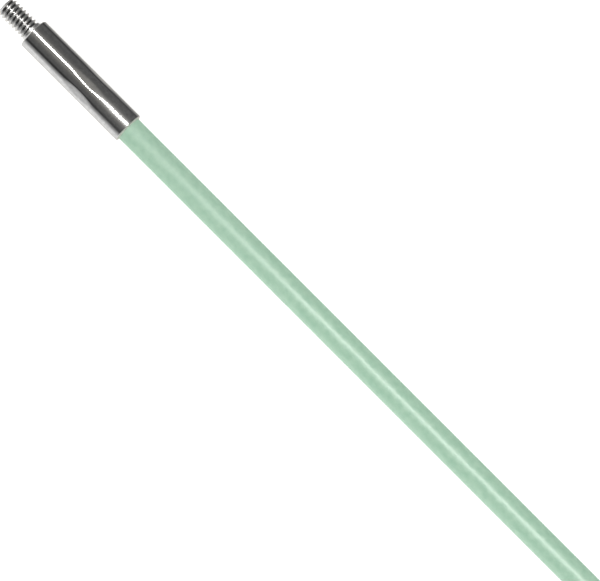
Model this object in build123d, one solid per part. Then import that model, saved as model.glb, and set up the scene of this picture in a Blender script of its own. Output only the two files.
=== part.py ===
from build123d import *
import math
import os

# One screw-together section of a slim glass-fibre extension rod, in millimetres.
# The rod lies along X. The origin is on its axis, at the front ferrule's shoulder:
# the threaded stud stands out towards -X, and the rod runs towards +X.
# Every piece is first made along Z, and laid along X as it is written.

INCH = 25.4

# Section
SECTION_LENGTH = 36 * INCH        # from the stud's shoulder to the rear ferrule's open face
ROD_DIAMETER = 7.7                # over the jacket
CORE_DIAMETER = 7.0

# Ferrules: the same sleeve on each end
FERRULE_DIAMETER = 3 / 8 * INCH
FERRULE_LENGTH = 1.5 * INCH
FACE_CHAMFER = 0.3
MOUTH_ROUND = 0.25
MOUTH_CHAMFER = 0.3
SOCKET_BOTTOM = 17.0              # depth of the web between tapped hole and rod socket
GLUE_GAP = 0.1                    # radial, and under the rod's end
BEAD_HEIGHT = 0.3                 # the ring of adhesive that shows at the mouth
BEAD_BULGE = 0.2

# Crimp: six jaw marks round the socket, a little uneven as a hand tool leaves them
CRIMP_JAWS = 6
CRIMP_FIRST_ANGLE = 52.0
CRIMP_CENTRE = 22.2
CRIMP_HALF_LENGTH = 5.0
CRIMP_DEPTH = 0.14
CRIMP_UNEVEN_DEPTH = 0.05
CRIMP_UNEVEN_PLACE = 0.9

# Thread: 1/4-20 UNC, right hand
THREAD_MAJOR = 0.25 * INCH
THREAD_PITCH = INCH / 20
STUD_CREST_RADIUS = 3.161         # external thread, with its allowance
STUD_ROOT_RADIUS = 2.396
STUD_CREST_ANGLE = 45.0           # share of a turn that is flat crest
STUD_ROOT_ANGLE = 60.0
STUD_LENGTH = 1.0 * INCH
STUD_STANDS_OUT = 11.1
STUD_LAND = 1.0                   # plain full-diameter stretch against the shoulder
STUD_TIP_CHAMFER = 0.8
STUD_TIP_RADIUS = 2.4
HOLE_MAJOR_RADIUS = 3.215         # internal thread's root
HOLE_MINOR_RADIUS = 2.55          # tap drill
HOLE_WIDER_ANGLE = 8.0            # the groove's extra width on each flank, as a turn angle
TAPPED_DEPTH = 15.3
LEAD_IN_RADIUS = 3.4
LEAD_IN_DEPTH = 0.5

ROD_RADIUS = ROD_DIAMETER / 2
SOCKET_RADIUS = ROD_RADIUS + GLUE_GAP
FERRULE_RADIUS = FERRULE_DIAMETER / 2
ROD_FRONT = SOCKET_BOTTOM + GLUE_GAP
ROD_LENGTH = SECTION_LENGTH - 2 * ROD_FRONT
FLANK_SLOPE = (STUD_CREST_RADIUS - STUD_ROOT_RADIUS) / (
    (360 - STUD_CREST_ANGLE - STUD_ROOT_ANGLE) / 2
)


def rod(radius, start, end):
    """A plain cylinder on the Z axis."""
    return Solid.make_cylinder(radius, end - start).moved(Location((0, 0, start)))


def turned_end_for_end(shape):
    """The front end's shape, where it sits on the section's rear end."""
    return shape.rotate(Axis.X, 180).moved(Location((0, 0, SECTION_LENGTH)))


def polar(radius, angle):
    return Vector(
        radius * math.cos(math.radians(angle)),
        radius * math.sin(math.radians(angle)),
    )


def thread_outline(crest_radius, root_radius, crest_angle):
    """A one-start thread cut square across: crest and root arcs joined by spiral flanks."""
    flank_angle = (crest_radius - root_radius) / FLANK_SLOPE
    crest_end = crest_angle / 2
    steps = 8
    radii = [crest_radius + (root_radius - crest_radius) * i / steps for i in range(steps + 1)]
    angles = [crest_end + flank_angle * i / steps for i in range(steps + 1)]
    falling = [polar(r, a) for r, a in zip(radii, angles)]
    rising = [polar(r, 360 - a) for r, a in zip(reversed(radii), reversed(angles))]
    crest = Edge.make_three_point_arc(rising[-1], polar(crest_radius, 0), falling[0])
    root = Edge.make_three_point_arc(falling[-1], polar(root_radius, 180), rising[0])
    sides = [Edge.make_spline(falling), Edge.make_spline(rising)]
    return Face(Wire([crest, sides[0], root, sides[1]]))


def threaded_rod(outline, start, end):
    """The outline drawn along Z with one right-hand turn for each pitch."""
    length = end - start
    turns = length / THREAD_PITCH
    body = Solid.extrude_linear_with_rotation(
        outline, Vector(0, 0, 0), Vector(0, 0, length), 360 * turns
    )
    return body.rotate(Axis.Z, 360 * start / THREAD_PITCH).moved(Location((0, 0, start)))


def end_chamfer_ring(tip, direction):
    """What is turned off a stud's end: everything outside a cone that narrows to the tip."""
    clear = 1.0
    slope = (STUD_CREST_RADIUS - STUD_TIP_RADIUS) / STUD_TIP_CHAMFER
    height = STUD_TIP_CHAMFER + 2 * clear
    low = STUD_TIP_RADIUS - slope * clear
    cone = Solid.make_cone(low, low + slope * height, height)
    ring = Solid.make_cylinder(2 * STUD_CREST_RADIUS, height).cut(cone)
    ring = ring.moved(Location((0, 0, -clear)))
    if direction < 0:
        ring = ring.rotate(Axis.X, 180)
    return ring.moved(Location((0, 0, tip)))


def threaded_stud():
    outline = thread_outline(STUD_CREST_RADIUS, STUD_ROOT_RADIUS, STUD_CREST_ANGLE)
    tip = -STUD_STANDS_OUT
    inner_end = tip + STUD_LENGTH
    front = threaded_rod(outline, tip, -STUD_LAND).cut(end_chamfer_ring(tip, 1))
    inside = threaded_rod(outline, 0, inner_end).cut(end_chamfer_ring(inner_end, -1))
    land = rod(THREAD_MAJOR / 2, -STUD_LAND, 0)
    return land.fuse(front).fuse(inside)


def tapped_hole():
    """The space of a ferrule's hole, from its face down to the rod socket."""
    crest_angle = STUD_CREST_ANGLE + 2 * HOLE_WIDER_ANGLE
    outline = thread_outline(HOLE_MAJOR_RADIUS, HOLE_MINOR_RADIUS, crest_angle)
    thread = threaded_rod(outline, 0, TAPPED_DEPTH)
    drilled = rod(HOLE_MINOR_RADIUS, TAPPED_DEPTH, SOCKET_BOTTOM)
    lead_in = Solid.make_cone(LEAD_IN_RADIUS, LEAD_IN_RADIUS - LEAD_IN_DEPTH, LEAD_IN_DEPTH)
    return [thread, drilled, lead_in]


def jaw_marks(radius):
    """Shallow saddles pressed into a round of this radius, one for each jaw."""
    marks = []
    for jaw in range(CRIMP_JAWS):
        depth = CRIMP_DEPTH + CRIMP_UNEVEN_DEPTH * math.cos(2.1 * jaw)
        centre = CRIMP_CENTRE + CRIMP_UNEVEN_PLACE * math.sin(1.7 * jaw)
        saddle = (CRIMP_HALF_LENGTH**2 + depth**2) / (2 * depth)
        width = 2 * FERRULE_RADIUS
        mark = Solid.make_cylinder(saddle, width).moved(Location((0, 0, -width / 2)))
        mark = mark.rotate(Axis.X, 90).moved(Location((radius - depth + saddle, 0, centre)))
        marks.append(mark.rotate(Axis.Z, CRIMP_FIRST_ANGLE + jaw * 360 / CRIMP_JAWS))
    return marks


def ferrule():
    sleeve = rod(FERRULE_RADIUS, 0, FERRULE_LENGTH)
    rims = sleeve.edges().filter_by(GeomType.CIRCLE).sort_by(Axis.Z)
    sleeve = sleeve.chamfer(FACE_CHAMFER, None, [rims[0]])
    rims = sleeve.edges().filter_by(GeomType.CIRCLE).sort_by(Axis.Z)
    sleeve = sleeve.fillet(MOUTH_ROUND, [rims[-1]])
    sleeve = sleeve.cut(*jaw_marks(FERRULE_RADIUS))
    socket = rod(SOCKET_RADIUS, SOCKET_BOTTOM, FERRULE_LENGTH).cut(*jaw_marks(SOCKET_RADIUS))
    mouth = Solid.make_cone(SOCKET_RADIUS, SOCKET_RADIUS + MOUTH_CHAMFER, MOUTH_CHAMFER)
    mouth = mouth.moved(Location((0, 0, FERRULE_LENGTH - MOUTH_CHAMFER)))
    return sleeve.cut(socket, mouth, *tapped_hole())


def adhesive():
    """A cup of adhesive round the rod's end, with a bead where it shows at the mouth."""
    bead_top = FERRULE_LENGTH + BEAD_HEIGHT
    bottom = Vector(0, 0, SOCKET_BOTTOM)
    bottom_edge = Vector(SOCKET_RADIUS, 0, SOCKET_BOTTOM)
    in_mouth = Vector(SOCKET_RADIUS, 0, FERRULE_LENGTH - MOUTH_CHAMFER)
    on_face = Vector(SOCKET_RADIUS + MOUTH_CHAMFER, 0, FERRULE_LENGTH)
    bulge = Vector(ROD_RADIUS + BEAD_BULGE, 0, FERRULE_LENGTH + BEAD_BULGE)
    on_rod = Vector(ROD_RADIUS, 0, bead_top)
    top = Vector(0, 0, bead_top)
    outline = Wire(
        [
            Edge.make_line(bottom, bottom_edge),
            Edge.make_line(bottom_edge, in_mouth),
            Edge.make_line(in_mouth, on_face),
            Edge.make_three_point_arc(on_face, bulge, on_rod),
            Edge.make_line(on_rod, top),
            Edge.make_line(top, bottom),
        ]
    )
    filled = Solid.revolve(Face(outline), 360, Axis.Z).cut(*jaw_marks(SOCKET_RADIUS))
    rod_end = rod(ROD_RADIUS, ROD_FRONT, FERRULE_LENGTH + 1).cut(*jaw_marks(ROD_RADIUS))
    drill_way = rod(HOLE_MINOR_RADIUS, SOCKET_BOTTOM, ROD_FRONT)
    return filled.cut(rod_end, drill_way)


def core_rod():
    return rod(CORE_DIAMETER / 2, ROD_FRONT, ROD_FRONT + ROD_LENGTH)


def green_jacket():
    marks = jaw_marks(ROD_RADIUS)
    marks += [turned_end_for_end(mark) for mark in marks]
    jacket = rod(ROD_RADIUS, ROD_FRONT, ROD_FRONT + ROD_LENGTH).cut(*marks)
    return jacket.cut(core_rod())


def laid_along_x(shape):
    return shape.rotate(Axis.Y, 90)


def main():
    os.makedirs("parts", exist_ok=True)
    sleeve = ferrule()
    bond = adhesive()
    pieces = {
        "threaded_stud": threaded_stud(),
        "front_ferrule": sleeve,
        "front_adhesive": bond,
        "core_rod": core_rod(),
        "green_jacket": green_jacket(),
        "rear_ferrule": turned_end_for_end(sleeve),
        "rear_adhesive": turned_end_for_end(bond),
    }
    for name, shape in pieces.items():
        export_step(laid_along_x(shape), f"parts/{name}.step")


main()
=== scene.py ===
import math

import bmesh
import bpy
from mathutils import Matrix, Vector


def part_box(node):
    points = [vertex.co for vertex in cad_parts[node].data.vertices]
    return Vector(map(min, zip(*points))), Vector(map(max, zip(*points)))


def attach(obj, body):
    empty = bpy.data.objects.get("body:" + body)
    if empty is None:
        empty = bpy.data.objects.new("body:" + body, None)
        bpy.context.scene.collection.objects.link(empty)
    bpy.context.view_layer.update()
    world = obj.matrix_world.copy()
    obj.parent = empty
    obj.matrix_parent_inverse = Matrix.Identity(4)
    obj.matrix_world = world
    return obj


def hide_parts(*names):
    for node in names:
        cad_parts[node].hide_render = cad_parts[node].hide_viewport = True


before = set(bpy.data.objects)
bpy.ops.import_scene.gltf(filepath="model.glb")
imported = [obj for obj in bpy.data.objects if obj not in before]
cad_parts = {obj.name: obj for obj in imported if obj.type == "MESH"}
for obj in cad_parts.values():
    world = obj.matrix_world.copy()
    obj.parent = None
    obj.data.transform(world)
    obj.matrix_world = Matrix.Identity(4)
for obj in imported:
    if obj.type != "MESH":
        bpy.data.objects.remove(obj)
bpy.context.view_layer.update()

# Lengths here are metres, as in the frame. MM turns the drawing's millimetres into metres.
MM = 0.001

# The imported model's own sizes
FERRULE_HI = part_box("front_ferrule")[1]
JACKET_LO, JACKET_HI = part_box("green_jacket")
CORE_LO, CORE_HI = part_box("core_rod")
SECTION_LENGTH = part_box("rear_ferrule")[1].x
FERRULE_LENGTH = FERRULE_HI.x
FERRULE_RADIUS = FERRULE_HI.y
ROD_RADIUS = JACKET_HI.y
CORE_RADIUS = CORE_HI.y

# Sizes inside the ferrule, as the CAD part has them
GLUE_GAP = 0.1 * MM
SOCKET_RADIUS = ROD_RADIUS + GLUE_GAP
SOCKET_BOTTOM = CORE_LO.x - GLUE_GAP
FACE_CHAMFER = 0.3 * MM
MOUTH_ROUND = 0.25 * MM
MOUTH_CHAMFER = 0.3 * MM
HOLE_MAJOR = 3.215 * MM
HOLE_MINOR = 2.55 * MM
HOLE_CREST_ANGLE = math.radians(61)
HOLE_FLANK_SLOPE = 0.765 * MM / math.radians(127.5)
THREAD_PITCH = 1.27 * MM
TAPPED_DEPTH = 15.3 * MM
LEAD_IN = 0.5 * MM
LEAD_IN_RADIUS = 3.4 * MM

# The crimp's jaw marks
CRIMP_JAWS = 6
CRIMP_FIRST_ANGLE = math.radians(52 - 90)
CRIMP_CENTRE = 22.2 * MM
CRIMP_HALF_LENGTH = 5.0 * MM
CRIMP_DEPTH = 0.14 * MM
CRIMP_UNEVEN_DEPTH = 0.05 * MM
CRIMP_UNEVEN_PLACE = 0.9 * MM
CRIMP_SOFTNESS = 0.05 * MM        # how gently one mark runs into the next
CRIMP_FROM = CRIMP_CENTRE - 1.4 * CRIMP_HALF_LENGTH
CRIMP_TO = CRIMP_CENTRE + 1.4 * CRIMP_HALF_LENGTH

# How finely the turned meshes are divided
FERRULE_SEGMENTS = 144
ROD_SEGMENTS = 96
MOUTH_STEPS = 6
THREAD_STEPS = 28                 # for each turn of the thread
SKIN_FROM = 2 * MM                # the sleeve's plain skin, in front of the crimp and behind it
SKIN_TO = 36 * MM
FRONT_SKIN_STEP = 4 * MM
REAR_SKIN_STEP = 3 * MM
CRIMP_MARGIN = 1 * MM
CRIMP_STEP = 0.2 * MM
SOCKET_STEP = 0.4 * MM
PRESSED_STEP = 0.5 * MM           # the jacket inside a ferrule
PRESSED_TO = FERRULE_LENGTH - 2 * MM
JACKET_STEP = 4 * MM
CORE_STEP = 8 * MM

# Where the looks change along the section, from the front shoulder
FERRULE_DULLS = (24 * MM, 31 * MM)
# Over this stretch the jacket's roughness falls, and its colour is painted lighter: painted light
JACKET_WEAR_AND_GLOW = (40 * MM, 115 * MM)

# Where the stud's thread groove turns into crest, as a radius, and its colour from one to the
# other: painted shade darkens the plating down in the groove
GROOVE_TO_CREST = (2.4 * MM, 2.95 * MM)
PLATING_AND_GROOVE_SHADE = [(0.1, (0.34, 0.34, 0.34)), (0.45, (0.70, 0.70, 0.70)), (0.75, (0.95, 0.95, 0.94))]

# Stage
FLOOR_HALF_SIZE = 30.0
SURROUND = 0.5                    # white light from all round
WARMTH = 0.04                     # how much warmer the studio is overhead and underneath

# What reflections see round the rod's axis: degrees from straight up (the camera's side is
# negative), and brightness. Bright table below, two black gaps beside it, dark walls, dim ceiling.
STUDIO = [
    (-180, 0.74), (-140, 0.88), (-108, 0.92), (-96, 0.52), (-86, 0.31), (-79, 0.20),
    (-73, 0.032), (-64, 0.028), (-56, 0.10), (-40, 0.11), (-26, 0.14), (-14, 0.23),
    (-4, 0.20), (14, 0.28), (24, 0.22), (34, 0.13), (60, 0.10), (90, 0.11), (104, 0.045),
    (112, 0.06), (122, 0.30), (180, 0.80),
]

# Lamps hang over the rod, face it and lie along it: name, degrees from straight up, half-width in
# degrees, watts for each square metre, and whether the lamp lights surfaces or shines in them
LAMPS = [
    ("soft_lamp", -5.0, 12.0, 9.3, True),
    ("shine_lamp", 6.4, 2.7, 56.0, False),
]
LAMP_HEIGHT = 2.0
LAMP_LENGTH = 3.0
LAMP_MIDDLE = 0.3
LAMP_COLOUR = (1.0, 0.995, 0.975)

# The camera: almost straight down, a little from the rear end's side, so that the rod lies on the
# frame's diagonal with its stud in the upper left corner
CAMERA_ELEVATION = math.radians(81.5)
CAMERA_AZIMUTH = math.atan(1 / math.sin(CAMERA_ELEVATION))
CAMERA_LENS = 500.0
CAMERA_SENSOR = 36.0
VIEW_WIDTH = 168.3 * MM
VIEW_HEIGHT = VIEW_WIDTH * 581 / 600    # the image is 600 by 581
SHOULDER_FROM_LEFT = 9.29 * MM
SHOULDER_FROM_TOP = 9.27 * MM


# ---------------------------------------------------------------- node helpers

def new_material(name):
    """An empty node material with a Principled shader: (material, nodes, links, shader)."""
    mat = bpy.data.materials.new(name)
    mat.use_nodes = True
    nodes = mat.node_tree.nodes
    links = mat.node_tree.links
    return mat, nodes, links, nodes["Principled BSDF"]


def noise(nodes, links, vector, scale, detail=3.0, roughness=0.5):
    """A noise texture on that vector; its Fac output."""
    tex = nodes.new("ShaderNodeTexNoise")
    tex.inputs["Scale"].default_value = scale
    tex.inputs["Detail"].default_value = detail
    tex.inputs["Roughness"].default_value = roughness
    links.new(vector, tex.inputs["Vector"])
    return tex.outputs["Fac"]


def object_coordinates(nodes, links, stretch=(1, 1, 1)):
    """Object coordinates, stretched for each axis."""
    coord = nodes.new("ShaderNodeTexCoord")
    mapping = nodes.new("ShaderNodeMapping")
    mapping.inputs["Scale"].default_value = stretch
    links.new(coord.outputs["Object"], mapping.inputs["Vector"])
    return mapping.outputs["Vector"]


def distance_along(nodes, links):
    """How far along the section a point is, from the front shoulder."""
    split = nodes.new("ShaderNodeSeparateXYZ")
    links.new(object_coordinates(nodes, links), split.inputs["Vector"])
    return split.outputs["X"]


def ranged(nodes, links, value, low, high, source=(0.3, 0.7)):
    """value spread from the source range to low and high. Noise mostly lies from 0.3 to 0.7."""
    node = nodes.new("ShaderNodeMapRange")
    node.inputs["From Min"].default_value = source[0]
    node.inputs["From Max"].default_value = source[1]
    node.inputs["To Min"].default_value = low
    node.inputs["To Max"].default_value = high
    links.new(value, node.inputs["Value"])
    return node.outputs["Result"]


def added(nodes, links, first, second):
    """The sum of two values."""
    node = nodes.new("ShaderNodeMath")
    node.operation = "ADD"
    links.new(first, node.inputs[0])
    links.new(second, node.inputs[1])
    return node.outputs["Value"]


def ramp(nodes, links, value, stops):
    """A colour ramp: stops are (place, colour)."""
    node = nodes.new("ShaderNodeValToRGB")
    ends = node.color_ramp.elements
    while len(ends) < len(stops):
        ends.new(0.5)
    for end, (place, colour) in zip(ends, stops):
        end.position = place
        end.color = (*colour, 1)
    links.new(value, node.inputs["Fac"])
    return node.outputs["Color"]


def bump(nodes, links, height, distance, after=None):
    """A bump node on that height, over another bump where one is given; its Normal output."""
    node = nodes.new("ShaderNodeBump")
    node.inputs["Distance"].default_value = distance
    node.inputs["Strength"].default_value = 1.0
    links.new(height, node.inputs["Height"])
    if after is not None:
        links.new(after, node.inputs["Normal"])
    return node.outputs["Normal"]


# ---------------------------------------------------------------- materials

def chrome_plate():
    """Polished chrome over drawn steel: long waves, faint polishing lines and fine dull specks."""
    mat, nodes, links, shader = new_material("chrome_plate")
    plain = object_coordinates(nodes, links)
    along = object_coordinates(nodes, links, (90, 1400, 1400))
    swell = noise(nodes, links, plain, 120.0, 2.0, 0.5)
    lines = noise(nodes, links, along, 1.0, 4.0, 0.6)
    specks = noise(nodes, links, plain, 900.0, 4.0, 0.65)
    shader.inputs["Metallic"].default_value = 1.0
    tint = ramp(nodes, links, specks, [(0.3, (0.64, 0.64, 0.64)), (0.7, (0.85, 0.85, 0.845))])
    links.new(tint, shader.inputs["Base Color"])
    handled = ranged(nodes, links, distance_along(nodes, links), 0.12, 0.22, FERRULE_DULLS)
    speckled = ranged(nodes, links, specks, 0.03, -0.03)
    links.new(added(nodes, links, handled, speckled), shader.inputs["Roughness"])
    waves = bump(nodes, links, swell, 0.07 * MM)
    pits = bump(nodes, links, specks, 0.004 * MM, waves)
    links.new(bump(nodes, links, lines, 0.0012 * MM, pits), shader.inputs["Normal"])
    return mat


def plated_thread():
    """The stud's bright plating: shiny crests, rougher down in the groove, and darker there by
    painted shade.
    """
    mat, nodes, links, shader = new_material("plated_thread")
    plain = object_coordinates(nodes, links)
    across = object_coordinates(nodes, links, (0, 1, 1))
    grain = noise(nodes, links, plain, 900.0, 5.0, 0.6)
    radius = nodes.new("ShaderNodeVectorMath")
    radius.operation = "LENGTH"
    links.new(across, radius.inputs[0])
    height = ranged(nodes, links, radius.outputs["Value"], 0, 1, GROOVE_TO_CREST)
    speckled = added(nodes, links, height, ranged(nodes, links, grain, -0.12, 0.12))
    shader.inputs["Metallic"].default_value = 1.0
    # Painted shade: the base colour darkens from the crests down into the groove
    links.new(ramp(nodes, links, speckled, PLATING_AND_GROOVE_SHADE), shader.inputs["Base Color"])
    links.new(ranged(nodes, links, height, 0.18, 0.38, (0, 1)), shader.inputs["Roughness"])
    links.new(bump(nodes, links, grain, 0.003 * MM), shader.inputs["Normal"])
    return mat


def mint_plastic():
    """The pale green jacket: satin, mottled, duller where it is handled behind the ferrule, and
    painted lighter further from it, which is painted light.
    """
    mat, nodes, links, shader = new_material("mint_plastic")
    plain = object_coordinates(nodes, links)
    along = object_coordinates(nodes, links, (250, 420, 420))
    mottle = noise(nodes, links, plain, 560.0, 3.0, 0.55)
    waves = noise(nodes, links, along, 1.0, 3.0, 0.5)
    distance = distance_along(nodes, links)
    tint = ramp(nodes, links, mottle, [(0.3, (0.338, 0.582, 0.417)), (0.7, (0.424, 0.660, 0.487))])
    # Painted light: the base colour is painted up to 7.5 % lighter further from the ferrule
    painted_glow = nodes.new("ShaderNodeVectorMath")
    painted_glow.operation = "SCALE"
    links.new(tint, painted_glow.inputs[0])
    links.new(ranged(nodes, links, distance, 1.0, 1.075, JACKET_WEAR_AND_GLOW), painted_glow.inputs["Scale"])
    links.new(painted_glow.outputs["Vector"], shader.inputs["Base Color"])
    worn = ranged(nodes, links, distance, 0.64, 0.43, JACKET_WEAR_AND_GLOW)
    mottled = ranged(nodes, links, mottle, -0.06, 0.06)
    links.new(added(nodes, links, worn, mottled), shader.inputs["Roughness"])
    shader.inputs["IOR"].default_value = 1.65
    shader.inputs["Specular IOR Level"].default_value = 1.0
    coarse = bump(nodes, links, waves, 0.06 * MM)
    links.new(bump(nodes, links, mottle, 0.10 * MM, coarse), shader.inputs["Normal"])
    return mat


def epoxy():
    """Cured cream adhesive, slightly glossy, with small lumps."""
    mat, nodes, links, shader = new_material("epoxy")
    plain = object_coordinates(nodes, links)
    lumps = noise(nodes, links, plain, 1100.0, 3.0, 0.5)
    tint = ramp(nodes, links, lumps, [(0.3, (0.42, 0.45, 0.38)), (0.7, (0.62, 0.66, 0.58))])
    links.new(tint, shader.inputs["Base Color"])
    links.new(ranged(nodes, links, lumps, 0.25, 0.4), shader.inputs["Roughness"])
    links.new(bump(nodes, links, lumps, 0.05 * MM), shader.inputs["Normal"])
    return mat


def glass_fibre():
    """Pultruded rod: long fibres in resin, seen as specks on a cut end."""
    mat, nodes, links, shader = new_material("glass_fibre")
    along = object_coordinates(nodes, links, (30, 3000, 3000))
    fibres = noise(nodes, links, along, 1.0, 4.0, 0.7)
    tint = ramp(nodes, links, fibres, [(0.3, (0.38, 0.36, 0.24)), (0.7, (0.62, 0.61, 0.48))])
    links.new(tint, shader.inputs["Base Color"])
    links.new(ranged(nodes, links, fibres, 0.35, 0.55), shader.inputs["Roughness"])
    links.new(bump(nodes, links, fibres, 0.01 * MM), shader.inputs["Normal"])
    return mat


def pale_floor():
    """A plain white light table."""
    mat, nodes, links, shader = new_material("pale_floor")
    plain = object_coordinates(nodes, links)
    grain = noise(nodes, links, plain, 30.0, 2.0, 0.5)
    tint = ramp(nodes, links, grain, [(0.3, (0.90, 0.90, 0.90)), (0.7, (0.93, 0.93, 0.93))])
    links.new(tint, shader.inputs["Base Color"])
    shader.inputs["Roughness"].default_value = 0.9
    shader.inputs["Emission Color"].default_value = (1, 1, 1, 1)
    shader.inputs["Emission Strength"].default_value = 0.66
    return mat


# ---------------------------------------------------------------- meshes

def finished(name, mesh, material):
    """An object from the mesh, with faces turned outward and smooth except over sharp edges."""
    work = bmesh.new()
    work.from_mesh(mesh)
    bmesh.ops.remove_doubles(work, verts=work.verts, dist=0.0001 * MM)
    bmesh.ops.recalc_face_normals(work, faces=work.faces)
    work.to_mesh(mesh)
    work.free()
    mesh.shade_smooth()
    mesh.set_sharp_from_angle(angle=math.radians(30))
    mesh.materials.append(material)
    obj = bpy.data.objects.new(name, mesh)
    bpy.context.scene.collection.objects.link(obj)
    return obj


def turned(name, stations, segments, material):
    """A closed ring of stations turned about X: (x, radius), or (x, function of the angle)."""
    verts = []
    for x, radius in stations:
        for j in range(segments):
            angle = 2 * math.pi * j / segments
            r = radius(angle) if callable(radius) else radius
            verts.append((x, r * math.cos(angle), r * math.sin(angle)))
    faces = []
    for i in range(len(stations)):
        here = i * segments
        there = (i + 1) % len(stations) * segments
        for j in range(segments):
            k = (j + 1) % segments
            faces.append((here + j, here + k, there + k, there + j))
    mesh = bpy.data.meshes.new(name)
    mesh.from_pydata(verts, [], faces)
    return finished(name, mesh, material)


def steps(start, end, spacing):
    """Evenly spaced places from start to end, both included."""
    count = max(1, round(abs(end - start) / spacing))
    return [start + (end - start) * i / count for i in range(count + 1)]


def crimped(radius, x):
    """The radius of a crimped round, at x from the ferrule's face, as a function of the angle."""
    marks = []
    for jaw in range(CRIMP_JAWS):
        depth = CRIMP_DEPTH + CRIMP_UNEVEN_DEPTH * math.cos(2.1 * jaw)
        centre = CRIMP_CENTRE + CRIMP_UNEVEN_PLACE * math.sin(1.7 * jaw)
        saddle = (CRIMP_HALF_LENGTH**2 + depth**2) / (2 * depth)
        height = radius - depth + (x - centre) ** 2 / (2 * saddle)
        marks.append((CRIMP_FIRST_ANGLE + jaw * 2 * math.pi / CRIMP_JAWS, height))

    def at(angle):
        low = 0.0
        for middle, height in marks:
            away = math.cos(angle - middle)
            if away > 0.5:
                over = (height / away - radius) / CRIMP_SOFTNESS
                low += math.log1p(math.exp(-over)) if over > -30 else -over
        return radius - CRIMP_SOFTNESS * low

    return at


def tapped(x):
    """The tapped hole's radius at that depth, as a function of the angle."""
    crest = 2 * math.pi * x / THREAD_PITCH - math.pi / 2
    lead = LEAD_IN_RADIUS - x if x < LEAD_IN else 0.0

    def at(angle):
        off = abs((angle - crest + math.pi) % (2 * math.pi) - math.pi) - HOLE_CREST_ANGLE / 2
        groove = HOLE_MAJOR - HOLE_FLANK_SLOPE * max(0.0, off)
        return max(groove, HOLE_MINOR, lead)

    return at


def ferrule_stations():
    """The sleeve's section: out over its skin, and back through socket, drilled web and thread."""
    skin = [(0.0, FERRULE_RADIUS - FACE_CHAMFER), (FACE_CHAMFER, FERRULE_RADIUS)]
    for x in steps(SKIN_FROM, CRIMP_FROM - CRIMP_MARGIN, FRONT_SKIN_STEP):
        skin.append((x, FERRULE_RADIUS))
    for x in steps(CRIMP_FROM, CRIMP_TO, CRIMP_STEP):
        skin.append((x, crimped(FERRULE_RADIUS, x)))
    for x in steps(CRIMP_TO + CRIMP_MARGIN, SKIN_TO, REAR_SKIN_STEP):
        skin.append((x, FERRULE_RADIUS))
    for i in range(MOUTH_STEPS + 1):
        turn = math.pi / 2 * i / MOUTH_STEPS
        x = FERRULE_LENGTH - MOUTH_ROUND * (1 - math.sin(turn))
        skin.append((x, FERRULE_RADIUS - MOUTH_ROUND * (1 - math.cos(turn))))
    socket = [
        (FERRULE_LENGTH, SOCKET_RADIUS + MOUTH_CHAMFER),
        (FERRULE_LENGTH - MOUTH_CHAMFER, SOCKET_RADIUS),
    ]
    for x in steps(CRIMP_TO, SOCKET_BOTTOM, SOCKET_STEP):
        socket.append((x, crimped(SOCKET_RADIUS, x)))
    web = [(SOCKET_BOTTOM, HOLE_MINOR), (TAPPED_DEPTH, HOLE_MINOR)]
    thread = [(x, tapped(x)) for x in steps(TAPPED_DEPTH, 0.0, THREAD_PITCH / THREAD_STEPS)]
    return skin + socket + web + thread


def jacket_stations():
    """The jacket's section: a thin tube, pressed in under each crimp and straight between."""

    def pressed(start, end):
        places = steps(start, end, PRESSED_STEP)
        return [(x, crimped(ROD_RADIUS, min(x, SECTION_LENGTH - x))) for x in places]

    plain = steps(FERRULE_LENGTH, SECTION_LENGTH - FERRULE_LENGTH, JACKET_STEP)
    outside = pressed(JACKET_LO.x, PRESSED_TO)
    outside += [(x, ROD_RADIUS) for x in plain]
    outside += pressed(SECTION_LENGTH - PRESSED_TO, JACKET_HI.x)
    inside = [(x, CORE_RADIUS) for x in steps(JACKET_HI.x, JACKET_LO.x, CORE_STEP)]
    return outside + inside


def core_stations():
    """The core's section: a solid round with flat ends."""
    outside = [(x, CORE_RADIUS) for x in steps(CORE_LO.x, CORE_HI.x, CORE_STEP)]
    return [(CORE_LO.x, 0.0)] + outside + [(CORE_HI.x, 0.0)]


def turned_end_for_end(obj):
    """Puts a front piece where it sits on the section's rear end."""
    flip = Matrix.Rotation(math.pi, 4, "Z")
    obj.data.transform(Matrix.Translation((SECTION_LENGTH, 0, 0)) @ flip)


def stands_for(obj, node):
    """Puts a piece on the root body in place of a CAD node, which it hides."""
    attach(obj, "root")
    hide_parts(node)


def repaint(node, material):
    """A CAD node keeps its shape and gets a better material."""
    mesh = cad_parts[node].data
    mesh.materials.clear()
    mesh.materials.append(material)


def build_rod():
    """Every piece of the section, in its finished material."""
    chrome = chrome_plate()
    mint = mint_plastic()
    glue = epoxy()
    front = turned("front_ferrule_visual", ferrule_stations(), FERRULE_SEGMENTS, chrome)
    stands_for(front, "front_ferrule")
    rear = turned("rear_ferrule_visual", ferrule_stations(), FERRULE_SEGMENTS, chrome)
    turned_end_for_end(rear)
    stands_for(rear, "rear_ferrule")
    jacket = turned("green_jacket_visual", jacket_stations(), ROD_SEGMENTS, mint)
    stands_for(jacket, "green_jacket")
    core = turned("core_rod_visual", core_stations(), ROD_SEGMENTS, glass_fibre())
    stands_for(core, "core_rod")
    repaint("threaded_stud", plated_thread())
    for node in ("front_adhesive", "rear_adhesive"):
        repaint(node, glue)


# ---------------------------------------------------------------- stage

def build_floor():
    """A level floor under the ferrules, which reflections don't see."""
    size = FLOOR_HALF_SIZE
    mesh = bpy.data.meshes.new("studio_floor")
    corners = [(-size, -size), (size, -size), (size, size), (-size, size)]
    mesh.from_pydata([(x, y, -FERRULE_RADIUS) for x, y in corners], [], [(0, 1, 2, 3)])
    mesh.materials.append(pale_floor())
    floor = bpy.data.objects.new("studio_floor", mesh)
    bpy.context.scene.collection.objects.link(floor)
    floor.visible_glossy = False


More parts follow.
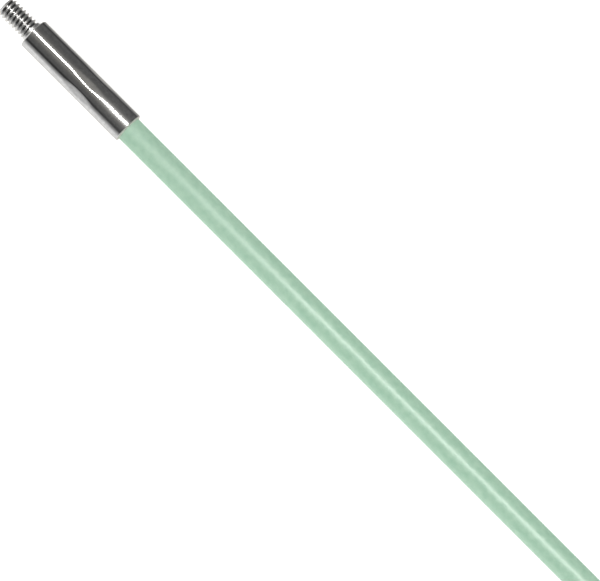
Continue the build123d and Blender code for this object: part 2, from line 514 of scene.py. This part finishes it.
def studio_stops():
    """The studio's brightness round the rod, as ramp stops, warmer overhead and underneath."""
    stops = []
    for angle, level in STUDIO:
        warmth = WARMTH * max(0.0, math.cos(2 * math.radians(angle)))
        tone = (level * (1 + warmth), level, level * (1 - 2 * warmth))
        stops.append(((angle + 180) / 360, tone))
    return stops


def build_world():
    """Soft white light from all round, except that reflections see the studio."""
    world = bpy.data.worlds.new("studio")
    bpy.context.scene.world = world
    world.use_nodes = True
    nodes = world.node_tree.nodes
    links = world.node_tree.links
    nodes.clear()
    soft = nodes.new("ShaderNodeBackground")
    soft.inputs["Color"].default_value = (1, 1, 1, 1)
    soft.inputs["Strength"].default_value = SURROUND
    coord = nodes.new("ShaderNodeTexCoord")
    split = nodes.new("ShaderNodeSeparateXYZ")
    links.new(coord.outputs["Generated"], split.inputs["Vector"])
    around = nodes.new("ShaderNodeMath")
    around.operation = "ARCTAN2"
    links.new(split.outputs["Y"], around.inputs[0])
    links.new(split.outputs["Z"], around.inputs[1])
    turn = ranged(nodes, links, around.outputs["Value"], 0, 1, (-math.pi, math.pi))
    studio = nodes.new("ShaderNodeBackground")
    links.new(ramp(nodes, links, turn, studio_stops()), studio.inputs["Color"])
    path = nodes.new("ShaderNodeLightPath")
    mix = nodes.new("ShaderNodeMixShader")
    links.new(path.outputs["Is Glossy Ray"], mix.inputs["Fac"])
    links.new(soft.outputs["Background"], mix.inputs[1])
    links.new(studio.outputs["Background"], mix.inputs[2])
    out = nodes.new("ShaderNodeOutputWorld")
    links.new(mix.outputs["Shader"], out.inputs["Surface"])


def build_lamps():
    """A broad soft lamp that lights the rod, and a long narrow one that only shines in it."""
    for name, from_zenith, half_width, brightness, lights_surfaces in LAMPS:
        tilt = math.radians(from_zenith)
        data = bpy.data.lights.new(name, "AREA")
        data.shape = "RECTANGLE"
        data.size = LAMP_LENGTH
        data.size_y = 2 * LAMP_HEIGHT * math.tan(math.radians(half_width))
        data.energy = brightness * data.size * data.size_y
        data.color = LAMP_COLOUR
        lamp = bpy.data.objects.new(name, data)
        lamp.location = (LAMP_MIDDLE, LAMP_HEIGHT * math.tan(tilt), LAMP_HEIGHT)
        lamp.rotation_euler = (-tilt, 0, 0)
        lamp.visible_camera = False
        lamp.visible_diffuse = lights_surfaces
        lamp.visible_glossy = not lights_surfaces
        bpy.context.scene.collection.objects.link(lamp)


def build_camera():
    """A long lens, placed so that the front shoulder sits where the view's sizes say."""
    data = bpy.data.cameras.new("camera")
    data.lens = CAMERA_LENS
    data.sensor_width = CAMERA_SENSOR
    data.clip_start = 0.1
    data.clip_end = 100
    cam = bpy.data.objects.new("camera", data)
    bpy.context.scene.collection.objects.link(cam)
    sin_a, cos_a = math.sin(CAMERA_AZIMUTH), math.cos(CAMERA_AZIMUTH)
    sin_e, cos_e = math.sin(CAMERA_ELEVATION), math.cos(CAMERA_ELEVATION)
    back = Vector((sin_a * cos_e, -cos_a * cos_e, sin_e))
    right = Vector((cos_a, sin_a, 0))
    up = back.cross(right)
    distance = VIEW_WIDTH * CAMERA_LENS / CAMERA_SENSOR
    across = VIEW_WIDTH / 2 - SHOULDER_FROM_LEFT
    down = VIEW_HEIGHT / 2 - SHOULDER_FROM_TOP
    cam.location = right * across - up * down + back * distance
    cam.rotation_mode = "QUATERNION"
    cam.rotation_quaternion = back.to_track_quat("Z", "Y")
    bpy.context.scene.camera = cam


def main():
    build_camera()
    build_rod()
    build_floor()
    build_world()
    build_lamps()
    bpy.context.scene.view_settings.view_transform = "Standard"


main()
